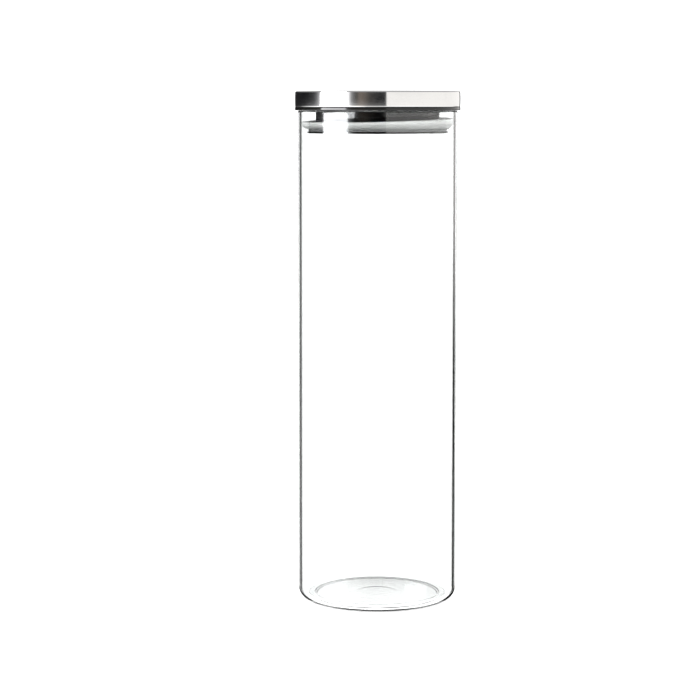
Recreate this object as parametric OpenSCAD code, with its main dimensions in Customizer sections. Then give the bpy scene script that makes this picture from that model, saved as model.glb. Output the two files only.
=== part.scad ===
// Tall glass storage canister with a push-in lid: a plain glass cylinder, and a plug that is a moulded body
// under a pressed steel cap, sealed in the mouth by a soft lip ring that a snap-in base disc holds in place.
// Millimetres. Origin at the centre of the foot, +Z up, so the canister stands on Z = 0.

/* [Jar] */
// Outside diameter of the glass
glass_d = 100; // [80:1:160]
// Height of the jar from the foot to the rim
jar_h = 308.4; // [80:0.1:400]
// Thickness of the glass wall
glass_wall = 2; // [1.6:0.1:3]
// Thickness of the glass floor
floor_t = 2.4; // [2:0.1:6]
// Outside rounding of the heel
heel_r = 6; // [3:0.5:10]
// Inside rounding between wall and floor
floor_r = 4; // [2:0.5:12]
// Width of the flat ring that the jar stands on
foot_w = 4; // [2:0.5:8]
// Rise of the underside at its centre
kick_h = 0.6; // [0.4:0.1:2]

/* [Lid] */
// How far the lid reaches past the glass on each side
lid_overhang = 1.8; // [1:0.1:6]
// Height of the steel cap's side
cap_h = 10; // [7:0.1:24]
// Thickness of the steel
cap_t = 0.5; // [0.3:0.1:0.9]
// Outside rounding of the cap's top edge
cap_edge_r = 1; // [1:0.1:2.5]
// Thickness of the flange that covers the glass rim
flange_t = 2.1; // [1.4:0.1:5]
// Length of the neck from the flange down to the base disc
neck_depth = 12.9; // [10:0.1:30]
// Wall thickness of the moulded plug
plug_wall = 2; // [1.2:0.1:2.6]
// Number of ribs between the flange and the adhesive pad
rib_count = 6; // [3:1:12]
// Thickness of each rib
rib_t = 1.6; // [1:0.1:2.4]
// Thickness of the adhesive pad under the steel
pad_t = 0.6; // [0.3:0.1:1.5]

/* [Seal and base disc] */
// Radial width of the seal, from the neck to the glass
seal_w = 9.3; // [7:0.1:14]
// Height of the seal
seal_h = 7; // [5:0.1:9]
// Height of the seal's upright foot on the base disc
seal_foot_h = 1; // [0.6:0.1:1.6]
// Thickness of the seal's lip
lip_t = 1.2; // [0.8:0.1:1.6]
// How far the seal's solid core stands back from the edge of its foot
core_inset = 1.2; // [0.6:0.1:1.6]
// Thickness of the base disc
disc_t = 1.2; // [1:0.1:3]
// Gap between the base disc's edge and the glass
disc_gap = 4; // [1:0.1:5]
// Ledge of the base disc past the seal's foot
disc_ledge = 0.8; // [0.4:0.1:1.6]
// Height of the spigot ring that snaps into the neck
spigot_h = 4; // [2:0.5:6]
// Wall of the spigot ring
spigot_t = 1.5; // [1:0.1:2]

/* [Fits] */
// Gap that the seal's grip leaves between the glass rim and the flange
rim_gap = 0.1; // [0.1:0.1:1]
// Gap between the seal's lip and the glass
lip_gap = 0.15; // [0.05:0.05:0.3]
// Radial clearance of the seal on the neck
neck_fit = 0.05; // [0.01:0.01:0.1]
// Gap between the seal and the base disc under it
seal_play = 0.1; // [0.05:0.05:0.3]
// Radial clearance of the plug inside the steel cap
cap_fit = 0.1; // [0.05:0.05:0.3]
// Radial clearance of the spigot ring inside the neck
spigot_fit = 0.05; // [0.02:0.01:0.1]

/* [Hidden] */
$fn = 128;

// Radii, from the glass inwards
glass_r = glass_d / 2;
bore_r = glass_r - glass_wall;
cap_r = glass_r + lid_overhang;
skirt_r = cap_r - cap_t - cap_fit;
neck_r = bore_r - seal_w;
disc_r = bore_r - disc_gap;
lip_r = bore_r - lip_gap;
seal_foot_r = disc_r - disc_ledge;
core_r = seal_foot_r - core_inset;
spigot_r = neck_r - plug_wall - spigot_fit;
foot_r = glass_r - heel_r;
foot_in_r = foot_r - foot_w;
kick_r = (pow(foot_in_r, 2) + pow(kick_h, 2)) / (2 * kick_h);

// Heights, from the foot upwards
flange_z = jar_h + rim_gap;
cap_z = flange_z + flange_t;
lid_top_z = cap_z + cap_h;
pad_z = lid_top_z - cap_t - pad_t;
disc_z = flange_z - neck_depth;
seal_z = disc_z + seal_play;
seal_top_z = seal_z + seal_h;
bowl_z = seal_z + seal_foot_h;

// Small rounds on the plug's edges, and the overlap that joins drawn shapes
plug_edge_r = 0.5;
join = 0.2;

// Half outline of a disc of radius r from z0 to z1, with its bottom edge rounded by lo and its top edge by hi
module round_disc_outline(r, z0, z1, lo, hi) {
    translate([0, z0 + lo]) square([r, z1 - z0 - lo - hi]);
    if (lo > 0) {
        translate([0, z0]) square([r - lo, lo + join]);
        quarter_disc(r - lo, z0 + lo, lo, -1);
    }
    if (hi > 0) {
        translate([0, z1 - hi - join]) square([r - hi, hi + join]);
        quarter_disc(r - hi, z1 - hi, hi, 1);
    }
}

// Outer quarter of a disc about (x, z), below its centre for side -1 and above it for side 1
module quarter_disc(x, z, radius, side) {
    intersection() {
        translate([x, z]) circle(radius);
        translate([x - join, side > 0 ? z - join : z - radius]) square(radius + join);
    }
}

// Keeps the half of an outline that lies on the positive side of the axis
module right_half() {
    intersection() {
        children();
        square([2 * glass_r, 2 * jar_h]);
    }
}

// Glass cylinder with a fire-polished rim, a rounded heel and a pushed-up underside
module glass_jar() {
    rim_r = glass_wall / 2;
    color([0.86, 0.93, 0.93, 0.4])
    rotate_extrude()
    right_half()
    difference() {
        union() {
            difference() {
                round_disc_outline(glass_r, 0, jar_h - rim_r, heel_r, 0);
                round_disc_outline(bore_r, floor_t, jar_h, floor_r, 0);
            }
            translate([glass_r - rim_r, jar_h - rim_r]) circle(rim_r);
        }
        translate([0, kick_h - kick_r]) circle(kick_r, $fn = 720);
    }
}

// Thin pressed steel cap, open underneath
module steel_cap() {
    color("silver")
    rotate_extrude()
    difference() {
        round_disc_outline(cap_r, cap_z, lid_top_z, 0, cap_edge_r);
        round_disc_outline(cap_r - cap_t, cap_z - 1, lid_top_z - cap_t, 0, cap_edge_r - cap_t);
    }
}

// Double-sided foam pad that bonds the steel to the ribs and the skirt of the plug
module adhesive_pad() {
    pad_r = skirt_r - plug_wall / 2;
    color("dimgray")
    translate([0, 0, pad_z]) cylinder(r = pad_r, h = pad_t);
}

// Ring wall with its inside at r0 and its outside at r1, drawn as a half outline
module wall_outline(r0, r1, z0, z1) {
    translate([r0, z0]) square([r1 - r0, z1 - z0]);
}

// Moulded plug: flange over the rim, skirt and ribs up inside the steel cap, neck down into the jar
module plug_body() {
    color([0.04, 0.04, 0.045]) {
        rotate_extrude() {
            round_disc_outline(cap_r, flange_z, cap_z, plug_edge_r, 0);
            wall_outline(skirt_r - plug_wall, skirt_r, cap_z - join, pad_z);
            wall_outline(neck_r - plug_wall, neck_r, disc_z, flange_z + join);
        }
        for (i = [0 : rib_count - 1])
            rotate([0, 0, i * 360 / rib_count])
                translate([0, -rib_t / 2, cap_z - join])
                    cube([skirt_r - plug_wall + join, rib_t, pad_z - cap_z + join]);
    }
}

// Base disc with a spigot ring that snaps into the neck and closes the plug
module plug_base() {
    color([0.03, 0.03, 0.035])
    rotate_extrude() {
        round_disc_outline(disc_r, disc_z - disc_t, disc_z, plug_edge_r, 0);
        wall_outline(spigot_r - spigot_t, spigot_r, disc_z - join, disc_z + spigot_h);
    }
}

// Soft ring on the neck: a foot and a solid core, and a bowl-shaped lip that reaches out and up to the glass
module seal_ring() {
    in_r = neck_r + neck_fit;
    bowl_r = min(lip_r - seal_foot_r, seal_h - seal_foot_h - lip_t);
    color([0.9, 0.9, 0.88])
    rotate_extrude()
    difference() {
        union() {
            wall_outline(0, seal_foot_r, seal_z, bowl_z + join);
            round_disc_outline(lip_r, bowl_z, seal_top_z, bowl_r, 0);
        }
        wall_outline(0, in_r, seal_z - 1, seal_top_z + 1);
        difference() {
            round_disc_outline(lip_r - lip_t, bowl_z + lip_t, seal_top_z + 1, bowl_r - lip_t, 0);
            wall_outline(0, core_r, seal_z, seal_top_z + 2);
        }
    }
}

glass_jar();
plug_body();
plug_base();
seal_ring();
adhesive_pad();
steel_cap();
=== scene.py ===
import math

import bmesh
import bpy
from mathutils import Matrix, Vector, noise


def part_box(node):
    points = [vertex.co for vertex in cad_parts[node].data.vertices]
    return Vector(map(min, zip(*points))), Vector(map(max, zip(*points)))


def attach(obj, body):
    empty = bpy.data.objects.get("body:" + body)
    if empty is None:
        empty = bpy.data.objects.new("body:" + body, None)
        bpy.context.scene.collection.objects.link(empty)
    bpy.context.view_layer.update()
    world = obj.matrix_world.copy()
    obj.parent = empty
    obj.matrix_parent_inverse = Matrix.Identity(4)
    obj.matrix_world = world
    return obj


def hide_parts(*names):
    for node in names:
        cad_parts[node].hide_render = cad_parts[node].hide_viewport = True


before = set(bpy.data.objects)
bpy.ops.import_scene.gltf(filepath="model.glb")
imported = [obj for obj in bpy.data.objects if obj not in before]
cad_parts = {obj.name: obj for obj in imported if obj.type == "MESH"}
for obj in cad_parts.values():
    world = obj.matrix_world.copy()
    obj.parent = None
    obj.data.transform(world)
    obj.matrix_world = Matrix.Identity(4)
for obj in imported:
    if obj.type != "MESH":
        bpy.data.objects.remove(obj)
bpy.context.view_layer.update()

# Camera. It stands level with the lid, a little over a metre away, and looks slightly down and to the left,
# so that the canister stands right of the middle.
eye_height = 0.3106
eye_distance = 1.2822
look_down = math.radians(6.205)
look_left = math.radians(0.77)
camera_data = bpy.data.cameras.new("camera")
camera_data.sensor_width = 36
camera_data.lens = 104.96
camera_data.shift_y = -0.03
camera = bpy.data.objects.new("camera", camera_data)
camera.location = (0, -eye_distance, eye_height)
camera.rotation_euler = (math.pi / 2 - look_down, 0, look_left)
bpy.context.scene.collection.objects.link(camera)
bpy.context.scene.camera = camera
bpy.context.scene.view_settings.view_transform = "Standard"


# Studio. The canister stands in a ring of soft boxes, white cards and black flags, over a bright table. Each
# list goes round by the bearing in degrees, where 0 is the side that the camera stands on. What is seen
# plainly, or straight through the glass, is an overexposed white sweep.
def add_node(tree, kind, inputs=None, **settings):
    """A new node with its settings, and with each named input set to a value or joined to a socket."""
    made = tree.nodes.new(kind)
    for name, value in settings.items():
        setattr(made, name, value)
    for name, value in (inputs or {}).items():
        if isinstance(value, bpy.types.NodeSocket):
            tree.links.new(value, made.inputs[name])
        else:
            made.inputs[name].default_value = value
    return made


def calculate(tree, operation, *values, clamp=False):
    """The output of a Math node."""
    made = add_node(tree, "ShaderNodeMath", dict(enumerate(values)), operation=operation, use_clamp=clamp)
    return made.outputs[0]


def overlap(tree, first, *others):
    """A mask that holds where all of the masks hold."""
    for mask in others:
        first = calculate(tree, "MULTIPLY", first, mask)
    return first


def fade(tree, value, start, end, low=0.0, high=1.0):
    """A smooth change from low to high as the value goes from start to end."""
    ends = {"From Min": start, "From Max": end, "To Min": low, "To Max": high}
    made = add_node(tree, "ShaderNodeMapRange", {"Value": value, **ends}, interpolation_type="SMOOTHSTEP")
    return made.outputs["Result"]


def blend_colours(tree, share, first, second):
    """First where share is 0, second where it is 1."""
    made = add_node(tree, "ShaderNodeMix", {"Factor": share}, data_type="RGBA")
    for socket, value in ((made.inputs[6], first), (made.inputs[7], second)):
        if isinstance(value, bpy.types.NodeSocket):
            tree.links.new(value, socket)
        else:
            socket.default_value = (*value, 1)
    return made.outputs[2]


def all_round(tree, turn, stops):
    """The colour at a turn from 0 to 1, between (bearing, colour) stops that go from -180 to 180 degrees."""
    made = add_node(tree, "ShaderNodeValToRGB", {"Fac": turn})
    elements = made.color_ramp.elements
    while len(elements) < len(stops):
        elements.new(1)
    for element, (degrees, colour) in zip(elements, stops):
        element.position = 0.5 + degrees / 360
        element.color = (*colour, 1)
    return made.outputs["Color"]


def grey(level):
    """A neutral colour."""
    return (level, level, level)


sweep = grey(1.8)
softbox = (16, 16.1, 16.4)
card = (1.22, 1.2, 1.18)
flag = grey(0.012)
ceiling = (0.55, 0.55, 0.56)
studio_ring = [
    (-180, grey(1)), (-168, grey(1)), (-163, grey(0.08)), (-158, (0.02, 0.02, 0.022)),
    (-121, (0.014, 0.014, 0.016)), (-112, (0.018, 0.018, 0.02)), (-105, (0.025, 0.025, 0.028)),
    (-98, (0.06, 0.06, 0.065)), (-92, (0.2, 0.2, 0.21)), (-85, (0.8, 0.8, 0.83)), (-83.5, softbox),
    (-45.5, softbox), (-43, (2.0, 2.0, 2.05)), (-37, (0.4, 0.4, 0.41)), (-33, grey(0.16)),
    (-29.5, (0.09, 0.085, 0.08)), (-23, (0.19, 0.155, 0.13)), (-17, (0.14, 0.12, 0.105)),
    (-10, (0.05, 0.045, 0.042)), (0, (0.012, 0.012, 0.013)), (9, (0.012, 0.012, 0.013)), (11.5, grey(0.05)),
    (12.6, card), (158, card), (160, flag), (169, flag), (171, grey(1)), (180, grey(1)),
]
table_ring = [
    (-180, grey(1.3)), (-125, grey(1.5)), (-105, (2.6, 2.6, 2.7)), (-84, (3.6, 3.6, 3.7)),
    (-44, (3.6, 3.6, 3.7)), (-30, (2.6, 2.55, 2.5)), (-15, grey(1.3)), (0, grey(1.1)), (30, grey(1.5)),
    (180, grey(1.3)),
]
low_flags = [
    (-180, grey(0)), (-170, grey(0)), (-166, grey(0.9)), (-140, grey(0.9)), (-125, grey(0)), (130, grey(0)),
    (142, grey(1)), (168, grey(1)), (171, grey(0)), (180, grey(0)),
]
world = bpy.data.worlds.new("studio")
bpy.context.scene.world = world
world.use_nodes = True
sky = world.node_tree
sky.nodes.clear()
facing = add_node(sky, "ShaderNodeTexCoord").outputs["Generated"]
facing = add_node(sky, "ShaderNodeSeparateXYZ", {"Vector": facing}).outputs
bearing = calculate(sky, "ARCTAN2", facing["X"], calculate(sky, "MULTIPLY", facing["Y"], -1.0))
turn = calculate(sky, "MULTIPLY_ADD", bearing, 1 / math.tau, 0.5)

# A ray of light is known by its path: whether it went through glass, and through one wall of the jar or more,
# whether it was turned back by a shiny surface, and whether a matt one scattered it.
path = add_node(sky, "ShaderNodeLightPath").outputs
through = calculate(sky, "GREATER_THAN", path["Transmission Depth"], 0.5)
turned_back = calculate(sky, "GREATER_THAN", path["Glossy Depth"], 0.5)
scattered = calculate(sky, "GREATER_THAN", path["Diffuse Depth"], 0.5)
one_wall = overlap(sky, through, calculate(sky, "LESS_THAN", path["Transmission Depth"], 2.5))
back_in_wall = overlap(sky, one_wall, turned_back)
from_inside = calculate(sky, "SUBTRACT", overlap(sky, through, turned_back), one_wall, clamp=True)
straight = calculate(sky, "SUBTRACT", through, calculate(sky, "ADD", turned_back, scattered), clamp=True)
seen_plainly = calculate(sky, "MAXIMUM", straight, path["Is Camera Ray"])

# What shiny surfaces mirror: the ring, a grey ceiling above it and the bright table below it. Light that
# turned back inside the jar misses the table and meets a dark cloth behind it, and light that turned back
# within the wall meets a darker one low down. These draw the outline of the clear glass.
around = all_round(sky, turn, studio_ring)
around = blend_colours(sky, fade(sky, facing["Z"], 0.08, 0.3), around, ceiling)
on_table = overlap(sky, fade(sky, facing["Z"], -0.01, -0.3), calculate(sky, "SUBTRACT", 1.0, from_inside))
around = blend_colours(sky, on_table, around, all_round(sky, turn, table_ring))
behind = overlap(sky, from_inside, fade(sky, facing["Y"], 0.5, 0.7))
around = blend_colours(sky, behind, around, grey(0.12))
below_ring = overlap(sky, fade(sky, facing["Z"], -0.05, -0.12), fade(sky, facing["Z"], -0.88, -0.75))
around = blend_colours(sky, overlap(sky, below_ring, back_in_wall), around, grey(0.06))
low_flag = overlap(sky, all_round(sky, turn, low_flags), fade(sky, facing["Z"], -0.03, -0.13))
around = blend_colours(sky, low_flag, around, flag)

# Along the edges of the glass the light turns back inside the wall and comes out a little to one side. There
# it meets narrow black flags that stand close beside the sweep, and reach further in lower down.
sideways = calculate(sky, "ABSOLUTE", facing["X"])
sideways = calculate(sky, "ADD", sideways, fade(sky, facing["Z"], 0.0, -0.24, 0.0, 0.08))
flagged = overlap(
    sky, fade(sky, sideways, 0.35, 0.38), fade(sky, sideways, 0.62, 0.56),
    fade(sky, facing["Z"], -0.3, -0.45, 1.0, 0.0),
)
on_right = calculate(sky, "GREATER_THAN", facing["X"], 0.0)
beside = blend_colours(sky, flagged, sweep, blend_colours(sky, on_right, grey(0.15), grey(0.02)))
beside = blend_colours(sky, fade(sky, facing["Z"], 0.1, 0.2), beside, grey(0.7))
onward = calculate(sky, "GREATER_THAN", facing["Y"], 0.5)

# Matt surfaces are lit from above, and hardly at all from below.
overhead = blend_colours(sky, fade(sky, facing["Z"], -0.6, 0.45), (0.03, 0.032, 0.035), (3.7, 3.7, 3.66))
light = blend_colours(sky, seen_plainly, around, sweep)
light = blend_colours(sky, overlap(sky, back_in_wall, onward), light, beside)
light = blend_colours(sky, scattered, light, overhead)
background = add_node(sky, "ShaderNodeBackground", {"Color": light, "Strength": 1.0})
add_node(sky, "ShaderNodeOutputWorld", {"Surface": background.outputs[0]})

# Floor. A wide pale sweep that carries a faint shadow, and glows a little so that it stays pale far away.
bpy.ops.object.select_all(action="DESELECT")
bpy.ops.mesh.primitive_circle_add(vertices=96, radius=5, fill_type="NGON", location=(0, 0, 0))
floor = bpy.context.object
floor.name = "floor"
floor_paint = bpy.data.materials.new("floor_paint")
floor_paint.use_nodes = True
floor_shader = floor_paint.node_tree.nodes["Principled BSDF"]
floor_shader.inputs["Base Color"].default_value = (0.4, 0.4, 0.4, 1)
floor_shader.inputs["Roughness"].default_value = 0.9
floor_shader.inputs["Emission Color"].default_value = (1, 1, 1, 1)
floor_shader.inputs["Emission Strength"].default_value = 0.5
floor.data.materials.append(floor_paint)
floor.visible_glossy = False
floor.visible_transmission = False

# Lamps. Two large soft panels overhead and at the left that only light matt surfaces: the ring above is what
# the steel and the glass mirror.
for name, place, aim, width, power in (
    ("key_panel", (-1.2, -0.9, 1.3), (0, 0, 0.15), 1.2, 22),
    ("top_panel", (0.3, 0.5, 1.9), (0, 0, 0), 1.6, 26),
):
    panel_data = bpy.data.lights.new(name, "AREA")
    panel_data.size = width
    panel_data.energy = power
    panel = bpy.data.objects.new(name, panel_data)
    panel.location = place
    panel.rotation_euler = (Vector(place) - Vector(aim)).to_track_quat("Z", "Y").to_euler()
    panel.visible_camera = False
    panel.visible_glossy = False
    panel.visible_transmission = False
    bpy.context.scene.collection.objects.link(panel)


# Jar. One piece of clear borosilicate glass tube, 2 mm thick, with a thin floor closed in the flame, a
# rounded heel and a fire-polished rim. Floor and underside keep faint rings from the tool that shaped them.
def pick(kind, test):
    """Selects only the level faces or edges of the mesh being edited whose middle passes the test."""
    bpy.ops.mesh.select_mode(type="FACE" if kind == "faces" else "EDGE")
    bpy.ops.mesh.select_all(action="DESELECT")
    mesh = bmesh.from_edit_mesh(bpy.context.edit_object.data)
    for item in getattr(mesh, kind):
        middle = sum((corner.co for corner in item.verts), Vector()) / len(item.verts)
        reach = sum(math.hypot(corner.co.x, corner.co.y) for corner in item.verts) / len(item.verts)
        upright = item.normal.z if kind == "faces" else 0
        level = max(corner.co.z for corner in item.verts) - min(corner.co.z for corner in item.verts) < 1e-5
        if level and test(reach, middle.z, upright):
            item.select_set(True)
    bmesh.update_edit_mesh(bpy.context.edit_object.data)


def near(value, target):
    """True within a hundredth of a millimetre."""
    return abs(value - target) < 1e-5


def start_disc(name, radius, low, high, sides=256):
    """A closed cylinder about Z between two heights, open for editing."""
    if bpy.context.object and bpy.context.object.mode != "OBJECT":
        bpy.ops.object.mode_set(mode="OBJECT")
    bpy.ops.object.select_all(action="DESELECT")
    bpy.ops.mesh.primitive_cylinder_add(
        vertices=sides, radius=radius, depth=high - low, location=(0, 0, (low + high) / 2)
    )
    bpy.ops.object.transform_apply(location=True, rotation=True, scale=True)
    bpy.context.object.name = name
    bpy.ops.object.mode_set(mode="EDIT")
    return bpy.context.object


def push(height):
    """Extrudes the selected faces straight up or down."""
    bpy.ops.mesh.extrude_region_move(TRANSFORM_OT_translate={"value": (0, 0, height)})


def round_edge(reach, height, radius, segments, fullness=0.5):
    """Bevels the level ring of edges at a reach from the axis and a height."""
    pick("edges", lambda r, z, up: abs(r - reach) < 2e-5 and near(z, height))
    bpy.ops.mesh.bevel(offset=radius, segments=segments, profile=fullness, affect="EDGES")


def cut_rings(heights):
    """Adds a level ring of edges round the whole mesh at each height."""
    bpy.ops.mesh.select_mode(type="VERT")
    for height in heights:
        bpy.ops.mesh.select_all(action="SELECT")
        bpy.ops.mesh.bisect(plane_co=(0, 0, height), plane_no=(0, 0, 1))


def inwards(start, gap, count):
    """Radii that go in towards the axis at an even gap."""
    return [start - gap * index for index in range(count)]


def shape_face(height, up, radii, profile):
    """Insets the flat face at a height ring by ring, and lifts each ring to the profile's height above it."""
    pick("faces", lambda r, z, facing_up: near(z, height) and facing_up * up > 0.9)
    before = radii[0]
    lift_before = 0.0
    for radius in radii[1:]:
        lift = profile(radius)
        bpy.ops.mesh.inset(thickness=before - radius, depth=0, use_even_offset=True)
        bpy.ops.transform.translate(value=(0, 0, lift - lift_before))
        before, lift_before = radius, lift
    bpy.ops.mesh.poke()


def finish_piece(piece, material, body, node, smooth_angle=math.radians(40)):
    """Ends the modelling of a piece: smooth faces, its material, and its place in the assembly."""
    bpy.ops.object.mode_set(mode="OBJECT")
    bpy.ops.object.shade_smooth_by_angle(angle=smooth_angle)
    piece.data.name = piece.name
    piece.data.materials.clear()
    piece.data.materials.append(material)
    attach(piece, body)
    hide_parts(node)


jar_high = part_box("glass_jar")[1]
jar_r, jar_h = jar_high.x, jar_high.z
glass_wall = 0.002
floor_top = 0.0024
heel_r = 0.006
floor_r = 0.004
foot_w = 0.004
kick_h = 0.0006
bore_r = jar_r - glass_wall
floor_edge = bore_r - floor_r
foot_edge = jar_r - heel_r
foot_in = foot_edge - foot_w

jar = start_disc("jar", jar_r, 0, jar_h)
pick("faces", lambda r, z, up: near(z, jar_h) and up > 0.9)
bpy.ops.mesh.inset(thickness=glass_wall)
push(floor_top - jar_h)
round_edge(bore_r, floor_top, radius=floor_r, segments=14)
round_edge(jar_r, 0, radius=heel_r, segments=14)
pick("edges", lambda r, z, up: near(z, jar_h) and r > bore_r - 2e-5)
bpy.ops.mesh.bevel(offset=glass_wall * 0.49, segments=8, profile=0.5, affect="EDGES")


def ridge(r, middle, width, height):
    """The height at r of a round ridge about the axis."""
    return height * math.exp(-(((r - middle) / width) ** 2))


def step(r, edge, width, height):
    """The height at r of a plateau about the axis that falls away at its edge."""
    return height / (1 + math.exp((r - edge) / width))


def floor_rings(r):
    """A slight crown, two faint moats near its edge, and the ripple that the tool leaves in the middle."""
    crown = 0.0002 * (1 - (r / floor_edge) ** 2)
    ripple = ridge(r, 0.013, 0.0012, 0.00003) + ridge(r, 0.008, 0.001, 0.00002)
    moat = ridge(r, 0.0392, 0.0005, 0.00016)
    rim_moat = ridge(r, 0.0432, 0.0003, 0.0001)
    return crown + ripple - moat - rim_moat


def kick(r):
    """A small step up inside the foot, then a shallow dome with a fainter step round its middle."""
    dome = (kick_h - 0.00018) * (1 - (r / foot_in) ** 2)
    return step(r, 0.0382, 0.0001, 0.00014) + max(dome, 0) + step(r, 0.0135, 0.0006, 0.00003)


# The rings of the mesh lie close together where the floor and the underside bend most.
floor_radii = [floor_edge, floor_edge - 0.0001, *inwards(0.0438, 0.0001, 13), 0.0415]
floor_radii += inwards(0.0404, 0.0002, 16) + inwards(0.0368, 0.0008, 45)
shape_face(floor_top, 1, floor_radii, floor_rings)
foot_radii = [foot_edge, foot_edge - 0.0004, foot_in + 0.0003, foot_in - 0.0003]
foot_radii += inwards(0.0386, 0.0001, 10) + inwards(0.0372, 0.0008, 45)
shape_face(0, -1, foot_radii, kick)
wall_cuts = [0.02 + 0.01 * index for index in range(29)]
cut_rings([heel_r + 0.0004, floor_top + floor_r + 0.0004, *wall_cuts, jar_h - 0.0014])
bpy.ops.object.mode_set(mode="OBJECT")

# The drawn wall is a little uneven, by a fiftieth of a millimetre.
unevenness = 0.00002
wall_start, wall_end = 0.014, jar_h - 0.004
for corner in jar.data.vertices:
    if wall_start < corner.co.z < wall_end:
        swell = noise.noise(Vector((corner.co.x * 22, corner.co.y * 22, corner.co.z * 9)))
        grow = 1 + unevenness * swell / math.hypot(corner.co.x, corner.co.y)
        corner.co.x *= grow
        corner.co.y *= grow
bpy.ops.object.mode_set(mode="EDIT")


def new_material(name, **values):
    """A material and its Principled BSDF, with inputs set by name, underscores standing for spaces."""
    material = bpy.data.materials.new(name)
    material.use_nodes = True
    shader = material.node_tree.nodes["Principled BSDF"]
    for key, value in values.items():
        shader.inputs[key.replace("_", " ")].default_value = value
    return material, material.node_tree, shader


clear_glass, tree, shader = new_material(
    "clear_glass", Base_Color=(0.985, 0.995, 0.992, 1), Roughness=0.0, IOR=1.473, Transmission_Weight=1.0
)
tint = add_node(tree, "ShaderNodeVolumeAbsorption", {"Color": (0.8, 0.94, 0.9, 1), "Density": 4.0})
tree.links.new(tint.outputs[0], tree.nodes["Material Output"].inputs["Volume"])
finish_piece(jar, clear_glass, "jar", "glass_jar", math.radians(60))

# Steel cap. A shallow cap pressed from 0.5 mm stainless sheet, spun with a fine grain that runs round it. It
# has a tight top edge, a softened lower edge and a side that swells by a tenth of a millimetre, and it is
# bonded over the plug.
cap_low, cap_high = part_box("steel_cap")
cap_r, cap_bottom, cap_top = 0.0518, cap_low.z, cap_high.z
cap_edge = 0.001
steel_t = 0.0005
hem_r = 0.00042
side_swell = 0.0001

cap = start_disc("cap", cap_r, cap_bottom, cap_top)
pick("faces", lambda r, z, up: near(z, cap_bottom) and up < -0.9)
bpy.ops.mesh.delete(type="FACE")
round_edge(cap_r, cap_top, radius=cap_edge, segments=8)
shape_face(cap_top, 1, [cap_r - cap_edge, cap_r - cap_edge - 0.0003, 0.04, 0.02, 0.002], lambda r: 0.0)
side_low, side_high = cap_bottom, cap_top - cap_edge
side_cuts = [side_low + (side_high - side_low) * index / 10 for index in range(1, 10)]
cut_rings([*side_cuts, side_high - 0.0002])
bpy.ops.object.mode_set(mode="OBJECT")
for corner in cap.data.vertices:
    from_middle = min(2 * (corner.co.z - side_low) / (side_high - side_low) - 1, 1)
    shrink = 1 - side_swell * from_middle ** 2 / cap_r
    corner.co.x *= shrink
    corner.co.y *= shrink
sheet = cap.modifiers.new("sheet", "SOLIDIFY")
sheet.thickness = steel_t
sheet.offset = -1
sheet.use_even_offset = True
bpy.ops.object.modifier_apply(modifier=sheet.name)
bpy.ops.object.mode_set(mode="EDIT")
pick("edges", lambda r, z, up: near(z, cap_bottom) and r > cap_r - 0.0003)
bpy.ops.mesh.bevel(offset=hem_r, segments=5, profile=0.5, affect="EDGES")

# Handling marks. Soft smears with a finer speckle in them change a finish from its clean to its worn value.
marks = bpy.data.node_groups.new("handling_marks", "ShaderNodeTree")
for socket, way in (("Scale", "INPUT"), ("Clean", "INPUT"), ("Worn", "INPUT"), ("Value", "OUTPUT")):
    marks.interface.new_socket(name=socket, in_out=way, socket_type="NodeSocketFloat")
given = add_node(marks, "NodeGroupInput").outputs
spot = add_node(marks, "ShaderNodeTexCoord").outputs["Object"]
smear = add_node(marks, "ShaderNodeTexNoise", {"Vector": spot, "Scale": given["Scale"], "Detail": 3.0})
close = calculate(marks, "MULTIPLY", given["Scale"], 9.0)
speckle = add_node(marks, "ShaderNodeTexNoise", {"Vector": spot, "Scale": close, "Detail": 2.0})
smeared = calculate(marks, "MULTIPLY", smear.outputs["Fac"], 0.7)
worn = calculate(marks, "MULTIPLY_ADD", speckle.outputs["Fac"], 0.3, smeared)
finish = fade(marks, worn, 0.38, 0.66, given["Clean"], given["Worn"])
add_node(marks, "NodeGroupOutput", {"Value": finish})


def marked(tree, scale, clean, worn):
    """A value that goes from clean to worn with the handling marks."""
    made = add_node(tree, "ShaderNodeGroup", {"Scale": scale, "Clean": clean, "Worn": worn}, node_tree=marks)
    return made.outputs["Value"]


steel, tree, shader = new_material("spun_steel", Metallic=1.0, Anisotropic=0.8, Anisotropic_Rotation=0.25)
spin = add_node(tree, "ShaderNodeTangent", direction_type="RADIAL", axis="Z")
tree.links.new(spin.outputs[0], shader.inputs["Tangent"])
place = add_node(tree, "ShaderNodeTexCoord").outputs["Object"]
part = add_node(tree, "ShaderNodeSeparateXYZ", {"Vector": place}).outputs
flat = add_node(tree, "ShaderNodeCombineXYZ", {"X": part["X"], "Y": part["Y"]}).outputs[0]
reach = add_node(tree, "ShaderNodeVectorMath", {0: flat}, operation="LENGTH").outputs["Value"]
grains_per_metre = 9000.0
grain_place = add_node(tree, "ShaderNodeCombineXYZ", {
    "X": calculate(tree, "MULTIPLY", reach, grains_per_metre),
    "Y": calculate(tree, "MULTIPLY", part["Z"], grains_per_metre),
    "Z": calculate(tree, "MULTIPLY", calculate(tree, "ARCTAN2", part["Y"], part["X"]), 2.0),
}).outputs[0]
grain = add_node(tree, "ShaderNodeTexNoise", {"Vector": grain_place, "Scale": 1.0, "Detail": 3.0})
grain = grain.outputs["Fac"]
on_top = fade(tree, part["Z"], cap_top - 0.0009, cap_top - 0.0003, 0.1, 1.0)
grooves = calculate(tree, "MULTIPLY", grain, on_top)
bump = add_node(tree, "ShaderNodeBump", {"Height": grooves, "Strength": 0.06, "Distance": 0.0002})
tree.links.new(bump.outputs[0], shader.inputs["Normal"])
polish = calculate(tree, "ADD", fade(tree, grain, 0.3, 0.7, 0.08, 0.1), marked(tree, 45.0, 0.0, 0.03))
tree.links.new(polish, shader.inputs["Roughness"])
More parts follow.
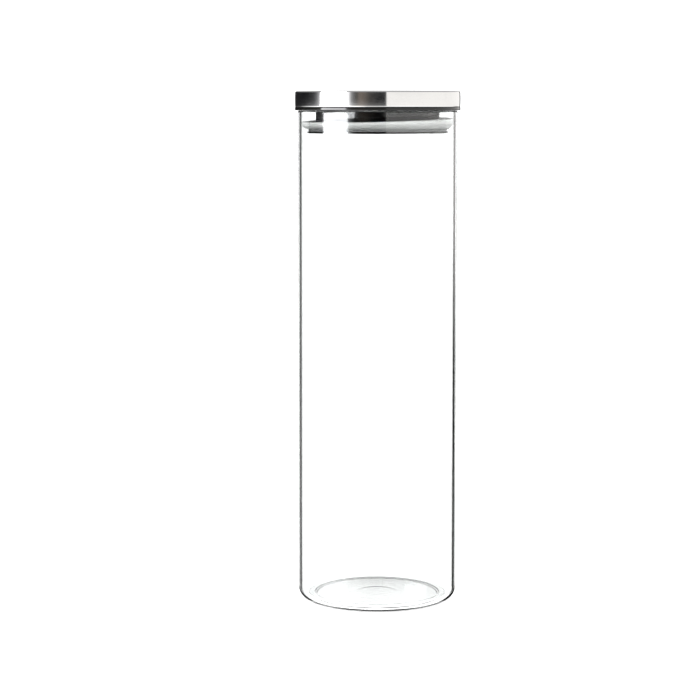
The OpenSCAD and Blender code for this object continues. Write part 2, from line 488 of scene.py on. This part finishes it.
tint = blend_colours(tree, marked(tree, 45.0, 0.0, 1.0), (0.74, 0.735, 0.725), (0.715, 0.71, 0.7))
tree.links.new(tint, shader.inputs["Base Color"])
finish_piece(cap, steel, "lid", "steel_cap", math.radians(30))

# Adhesive pad. A thin disc of black closed-cell foam, sticky on both sides, that holds the steel to the plug.
pad_low, pad_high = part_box("adhesive_pad")
pad_r = 0.0502
pad = start_disc("adhesive", pad_r, pad_low.z, pad_high.z, sides=128)
round_edge(pad_r, pad_high.z, radius=0.0001, segments=2)
round_edge(pad_r, pad_low.z, radius=0.0001, segments=2)
foam, tree, shader = new_material("foam", Roughness=0.95)
cells = add_node(tree, "ShaderNodeTexVoronoi", {
    "Vector": add_node(tree, "ShaderNodeTexCoord").outputs["Object"], "Scale": 3000.0
}).outputs["Distance"]
shade = blend_colours(tree, cells, (0.03, 0.03, 0.03), (0.1, 0.1, 0.1))
tree.links.new(shade, shader.inputs["Base Color"])
finish_piece(pad, foam, "lid", "adhesive_pad")

# Plug. Injection-moulded glossy black plastic: a flange over the glass rim, a skirt and six ribs up inside
# the steel, and a hollow neck down into the jar.
plug_low, plug_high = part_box("plug_body")
neck_depth = 0.0129
flange_bottom, flange_top = plug_low.z + neck_depth, cap_bottom
skirt_r, neck_r, plug_wall = 0.0512, 0.0387, 0.002
rib_count, rib_t, rib_root = 6, 0.0016, 0.0005
plug = start_disc("plug", cap_r, flange_bottom, flange_top)
pick("faces", lambda r, z, up: near(z, flange_top) and up > 0.9)
bpy.ops.mesh.inset(thickness=cap_r - skirt_r)
push(plug_high.z - flange_top)
bpy.ops.mesh.inset(thickness=plug_wall)
push(flange_top - plug_high.z)
pick("faces", lambda r, z, up: near(z, flange_bottom) and up < -0.9)
bpy.ops.mesh.inset(thickness=cap_r - neck_r)
push(plug_low.z - flange_bottom)
bpy.ops.mesh.inset(thickness=plug_wall)
push(flange_bottom - plug_low.z)
round_edge(cap_r, flange_bottom, radius=0.0005, segments=5)
round_edge(cap_r, flange_top, radius=0.00012, segments=2)
round_edge(neck_r, flange_bottom, radius=0.0003, segments=3)
round_edge(neck_r, plug_low.z, radius=0.00015, segments=2)
bpy.ops.object.mode_set(mode="OBJECT")
rib_length = skirt_r - plug_wall / 2
for index in range(rib_count):
    bpy.ops.object.select_all(action="DESELECT")
    bpy.ops.mesh.primitive_cube_add(size=1, location=(0, 0, 0))
    rib = bpy.context.object
    rib.scale = (rib_length, rib_t, plug_high.z - flange_top + rib_root)
    bpy.ops.object.transform_apply(location=False, rotation=False, scale=True)
    rib.location = (rib_length / 2, 0, (plug_high.z + flange_top - rib_root) / 2)
    bpy.ops.object.transform_apply(location=True, rotation=False, scale=False)
    rib.rotation_euler.z = index * math.tau / rib_count
    bpy.ops.object.transform_apply(location=False, rotation=True, scale=False)
    bpy.context.view_layer.objects.active = plug
    joint = plug.modifiers.new("rib", "BOOLEAN")
    joint.operation = "UNION"
    joint.object = rib
    bpy.ops.object.modifier_apply(modifier=joint.name)
    bpy.data.objects.remove(rib)
plug.select_set(True)
bpy.context.view_layer.objects.active = plug

black_plastic, tree, shader = new_material(
    "black_plastic", Base_Color=(0.004, 0.004, 0.0035, 1), Roughness=0.05, IOR=1.46
)
tree.links.new(marked(tree, 90.0, 0.03, 0.07), shader.inputs["Roughness"])
finish_piece(plug, black_plastic, "lid", "plug_body", math.radians(30))

# Base disc. A thin black moulding that closes the plug: its spigot ring snaps into the neck, and its rim
# carries the seal.
base_low, base_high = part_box("plug_base")
disc_r, disc_top = 0.044, plug_low.z
spigot_r, spigot_t = 0.03665, 0.0015
base = start_disc("base_disc", disc_r, base_low.z, disc_top)
pick("faces", lambda r, z, up: near(z, disc_top) and up > 0.9)
bpy.ops.mesh.inset(thickness=disc_r - spigot_r)
push(base_high.z - disc_top)
bpy.ops.mesh.inset(thickness=spigot_t)
push(disc_top - base_high.z)
round_edge(disc_r, base_low.z, radius=0.0004, segments=4)
round_edge(disc_r, disc_top, radius=0.0002, segments=3)
finish_piece(base, black_plastic, "lid", "plug_base", math.radians(30))

# Seal. A ring of translucent silicone stretched over the neck: a foot on the base disc, a solid core, and a
# bowl-shaped lip that the glass bends upwards, further on the side where the lid went in last.
seal_low, seal_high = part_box("seal_ring")
lip_r, foot_r, core_r, seal_bore = 0.04785, 0.0432, 0.042, 0.03875
foot_h, lip_t = 0.001, 0.0012
tilt_right, tilt_back = 0.0011, 0.0012
bowl_z, seal_top = seal_low.z + foot_h, seal_high.z
seal = start_disc("seal", lip_r, bowl_z, seal_top)
pick("faces", lambda r, z, up: near(z, seal_top) and up > 0.9)
bpy.ops.mesh.inset(thickness=lip_t)
push(bowl_z + lip_t - seal_top)
bpy.ops.mesh.inset(thickness=lip_r - lip_t - core_r)
push(seal_top - bowl_z - lip_t)
bpy.ops.mesh.inset(thickness=core_r - seal_bore)
bpy.ops.mesh.delete(type="FACE")
pick("faces", lambda r, z, up: near(z, bowl_z) and up < -0.9)
bpy.ops.mesh.inset(thickness=lip_r - foot_r)
push(-foot_h)
bpy.ops.mesh.inset(thickness=foot_r - seal_bore)
bpy.ops.mesh.delete(type="FACE")
pick("edges", lambda r, z, up: abs(r - seal_bore) < 2e-5)
bpy.ops.mesh.bridge_edge_loops()
bowl_r = lip_r - foot_r
round_edge(lip_r, bowl_z, radius=bowl_r * 0.98, segments=12, fullness=0.4)
round_edge(lip_r - lip_t, bowl_z + lip_t, radius=(bowl_r - lip_t) * 0.98, segments=10, fullness=0.4)
pick("edges", lambda r, z, up: near(z, seal_top) and r > core_r + 0.001)
bpy.ops.mesh.bevel(offset=lip_t * 0.45, segments=5, profile=0.5, affect="EDGES")
bpy.ops.object.mode_set(mode="OBJECT")
for corner in seal.data.vertices:
    up = min(max((corner.co.z - bowl_z) / (seal_top - bowl_z), 0), 1)
    corner.co.z += (tilt_right * corner.co.x + tilt_back * corner.co.y) / lip_r * up
bpy.ops.object.mode_set(mode="EDIT")

silicone, tree, shader = new_material(
    "silicone", IOR=1.41, Transmission_Weight=0.12,
    Subsurface_Weight=0.4, Subsurface_Scale=0.002, Subsurface_Radius=(1.0, 1.0, 1.0),
)
tree.links.new(marked(tree, 160.0, 0.28, 0.42), shader.inputs["Roughness"])
place = add_node(tree, "ShaderNodeTexCoord").outputs["Object"]
height = add_node(tree, "ShaderNodeSeparateXYZ", {"Vector": place}).outputs["Z"]
milky = blend_colours(tree, marked(tree, 160.0, 0.0, 1.0), (0.88, 0.89, 0.88), (0.84, 0.85, 0.84))
# Painted shade: the base colour turns dark grey at the foot, where the bowl above shades it.
painted_shade_at_foot = fade(tree, height, bowl_z + 0.0012, bowl_z - 0.0002)
shade = blend_colours(tree, painted_shade_at_foot, milky, (0.3, 0.305, 0.31))
tree.links.new(shade, shader.inputs["Base Color"])
finish_piece(seal, silicone, "seal", "seal_ring")
